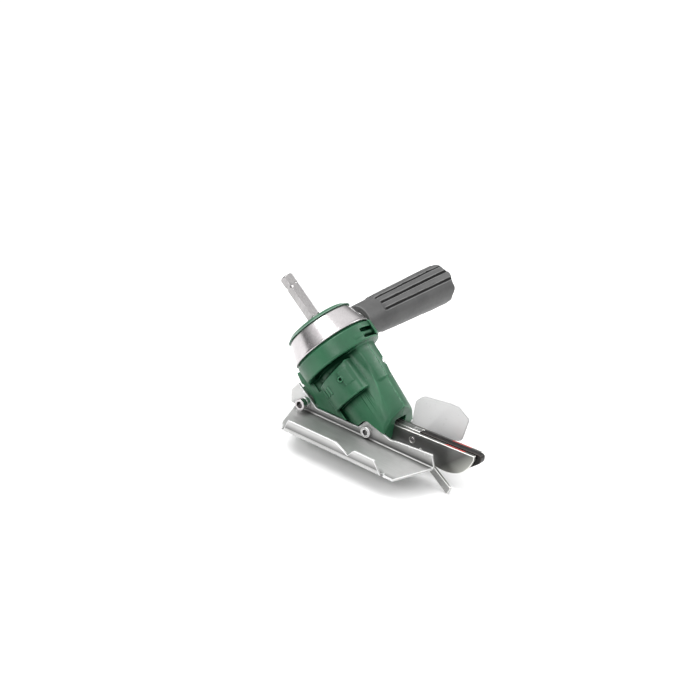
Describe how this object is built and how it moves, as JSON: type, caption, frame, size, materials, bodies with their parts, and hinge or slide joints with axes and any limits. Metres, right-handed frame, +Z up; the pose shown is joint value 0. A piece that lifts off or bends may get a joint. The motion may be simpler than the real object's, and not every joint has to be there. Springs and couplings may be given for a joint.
{
  "type": "drill-driven nibbler",
  "caption": "Drill-driven sheet nibbler: hex shank, polished clamp band with side handle, angled gearbox, rocking centre blade between cheeks, side foot and clear guard.",
  "frame": {"origin": "middle of the footprint at the tool's lowest point, the guide finger's tip", "axes": "+X along the cut, +Y to the tool's left where the handle stands, +Z up from the foot's sole"},
  "size_m": [0.1882, 0.1902, 0.1048],
  "materials": {
    "green_paint": "semi-gloss paint on a die casting",
    "polished_steel": "polished stainless steel",
    "sheet_steel": "satin zinc-plated sheet",
    "jaw_steel": "ground tool steel, lightly oiled",
    "black_steel": "black oxide, satin",
    "fastener_steel": "zinc plated",
    "grip_plastic": "fine moulded texture",
    "guard_plastic": "smoke-grey polycarbonate",
    "seal_rubber": "nitrile rubber",
    "bronze": "sintered bronze"
  },
  "bodies": {
    "root": {"housing_screw_1": "fastener_steel", "housing_screw_2": "fastener_steel", "housing_screw_3": "fastener_steel", "housing_right": "green_paint", "housing_left": "green_paint", "cap_screw_1": "fastener_steel", "cap_screw_2": "fastener_steel", "cap_screw_3": "fastener_steel", "gearbox_cap": "green_paint", "shaft_seal": "seal_rubber", "clamp_band": "polished_steel", "rear_bearing_outer_race": "fastener_steel", "front_bearing_outer_race": "fastener_steel", "right_cheek": "jaw_steel", "left_cheek": "jaw_steel", "cheek_spacer": "jaw_steel", "blade_pivot_pin": "polished_steel", "cheek_dowel": "fastener_steel", "guard_screw_1": "fastener_steel", "guard_screw_2": "fastener_steel", "chip_guard": "guard_plastic", "right_shoe": "sheet_steel", "left_side_plate": "sheet_steel", "front_bolt_right": "fastener_steel", "front_bolt_left": "fastener_steel", "rear_bolt": "fastener_steel", "rear_bolt_sleeve": "fastener_steel", "rear_spacer_tube": "fastener_steel", "rear_nut": "fastener_steel", "guide_finger": "sheet_steel", "handle_grip": "grip_plastic", "handle_stud": "fastener_steel", "handle_boss": "green_paint", "handle_washer": "fastener_steel"},
    "drive": {"drive_shaft": "polished_steel", "roller_circlip": "fastener_steel", "rear_bearing_inner_race": "fastener_steel", "rear_bearing_ball_cage": "bronze", "front_bearing_inner_race": "fastener_steel", "front_bearing_ball_cage": "bronze", "counterweight": "jaw_steel"},
    "roller": {"eccentric_roller": "polished_steel"},
    "blade": {"rocker_fork": "jaw_steel", "rocker_pin": "fastener_steel", "cutting_blade": "black_steel", "pivot_bush": "bronze"}
  },
  "joints": [
    {"name": "drive_spin", "type": "hinge", "parent": "root", "child": "drive", "pos_m": [-0.04312, -0.0363, 0.06525], "axis": [0.8039, 0, -0.5948], "continuous": true},
    {"name": "roller_spin", "type": "hinge", "parent": "drive", "child": "roller", "pos_m": [-0.04222, -0.0363, 0.06645], "axis": [0.8039, 0, -0.5948], "continuous": true},
    {"name": "blade_swing", "type": "hinge", "parent": "root", "child": "blade", "pos_m": [0.03928, -0.0363, 0.02305], "axis": [0, 1, 0], "range_deg": [-2.9, 0]}
  ],
  "couplings": [
    {"joint": "roller_spin", "follows": "drive_spin", "ratio": -1}
  ]
}
